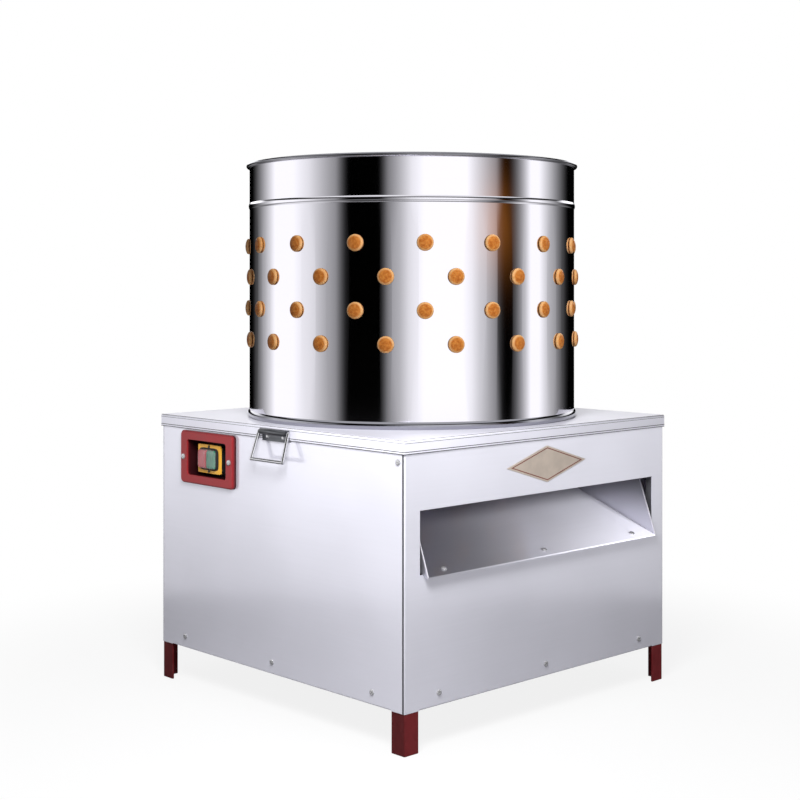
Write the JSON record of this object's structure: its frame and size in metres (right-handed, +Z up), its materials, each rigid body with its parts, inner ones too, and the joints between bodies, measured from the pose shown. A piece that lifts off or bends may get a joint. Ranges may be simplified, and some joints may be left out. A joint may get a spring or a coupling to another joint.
{
  "type": "poultry plucker",
  "caption": "Drum poultry plucker: a polished drum lined with rubber fingers stands on a square cabinet, with a spinning finger plate, belt drive and feather chute.",
  "frame": {"origin": "on the floor under the drum's axis, in the middle of the cabinet", "axes": "+Z up along the drum's axis; the outlet faces -Y and the switch faces -X"},
  "size_m": [0.7078, 0.69, 0.9505],
  "materials": {
    "frame_paint": "maroon gloss paint on angle iron",
    "cabinet_steel": "satin stainless sheet",
    "drum_steel": "mirror-polished stainless sheet",
    "plate_steel": "brushed stainless plate",
    "fasteners": "bright zinc",
    "shaft_steel": "turned steel",
    "castings": "painted casting",
    "finger_rubber": "amber moulded rubber",
    "belt_rubber": "black belt rubber",
    "motor_casing": "painted aluminium casting",
    "motor_black": "black paint",
    "motor_plastic": "black moulded plastic",
    "frame_red": "red moulded plastic",
    "box_dark": "dark moulded plastic",
    "switch_black": "black moulded plastic",
    "face_yellow": "yellow moulded plastic",
    "boot_clear": "clear soft boot",
    "stop_red": "red moulded plastic",
    "start_green": "green moulded plastic",
    "handle_grey": "dark grey plated steel",
    "handle_wire": "bright drawn wire",
    "plate_beige": "beige enamel, bare"
  },
  "bodies": {
    "base": {"front_left_leg": "frame_paint", "front_right_leg": "frame_paint", "back_left_leg": "frame_paint", "back_right_leg": "frame_paint", "top_rails": "frame_paint", "bottom_rails": "frame_paint", "mid_rails": "frame_paint", "upper_bearing_bars": "frame_paint", "lower_bearing_bars": "frame_paint", "motor_bars": "frame_paint", "outlet_panel": "cabinet_steel", "switch_panel": "cabinet_steel", "right_panel": "cabinet_steel", "back_panel": "cabinet_steel", "panel_screws": "fasteners", "chute": "cabinet_steel", "shaft_collar": "cabinet_steel", "cover": "cabinet_steel", "drum": "drum_steel", "drum_foot_ring": "drum_steel", "wall_fingers_row_1": "finger_rubber", "wall_fingers_row_2": "finger_rubber", "wall_fingers_row_3": "finger_rubber", "wall_fingers_row_4": "finger_rubber", "upper_bearing_housing": "castings", "lower_bearing_housing": "castings", "upper_bearing": "shaft_steel", "lower_bearing": "shaft_steel", "bearing_bolts": "fasteners", "motor_plate": "frame_paint", "motor_body": "motor_casing", "motor_fan_cover": "motor_black", "terminal_box": "motor_plastic", "capacitor": "motor_plastic", "motor_bolts": "fasteners", "drive_belt": "belt_rubber", "switch_bezel": "frame_red", "switch_box": "box_dark", "switch_body": "switch_black", "switch_faceplate": "face_yellow", "switch_cover": "boot_clear", "left_handle_plate": "handle_grey", "right_handle_plate": "handle_grey", "handle_rivets": "fasteners", "nameplate": "plate_beige", "cable_gland": "motor_plastic"},
    "rotor": {"turntable": "plate_steel", "turntable_hub": "castings", "hub_bolts": "fasteners", "plate_fingers": "finger_rubber", "main_shaft": "shaft_steel", "shaft_nut": "fasteners", "driven_pulley": "castings"},
    "motor_rotor": {"motor_shaft": "shaft_steel", "motor_pulley": "castings", "motor_fan": "motor_plastic"},
    "left_bail": {"left_bail": "handle_wire"},
    "right_bail": {"right_bail": "handle_wire"},
    "stop_button": {"stop_button": "stop_red"},
    "start_button": {"start_button": "start_green"}
  },
  "joints": [
    {"name": "turntable_spin", "type": "hinge", "parent": "base", "child": "rotor", "pos_m": [0, 0, 0.5], "axis": [0, 0, 1], "continuous": true},
    {"name": "motor_spin", "type": "hinge", "parent": "base", "child": "motor_rotor", "pos_m": [0, 0.225, 0.2], "axis": [0, 0, 1], "continuous": true},
    {"name": "left_bail_swing", "type": "hinge", "parent": "base", "child": "left_bail", "pos_m": [-0.3363, -0.013, 0.48], "axis": [0, 1, 0], "range_deg": [0, 170]},
    {"name": "right_bail_swing", "type": "hinge", "parent": "base", "child": "right_bail", "pos_m": [0.3363, -0.013, 0.48], "axis": [0, -1, 0], "range_deg": [0, 170]},
    {"name": "stop_press", "type": "slide", "parent": "base", "child": "stop_button", "axis": [1, 0, 0], "range_m": [0, 0.004], "stiffness_N_per_m": 500, "springref_m": -0.002},
    {"name": "start_press", "type": "slide", "parent": "base", "child": "start_button", "axis": [1, 0, 0], "range_m": [0, 0.004], "stiffness_N_per_m": 500, "springref_m": -0.002}
  ],
  "couplings": [
    {"joint": "motor_spin", "follows": "turntable_spin", "ratio": 5}
  ]
}
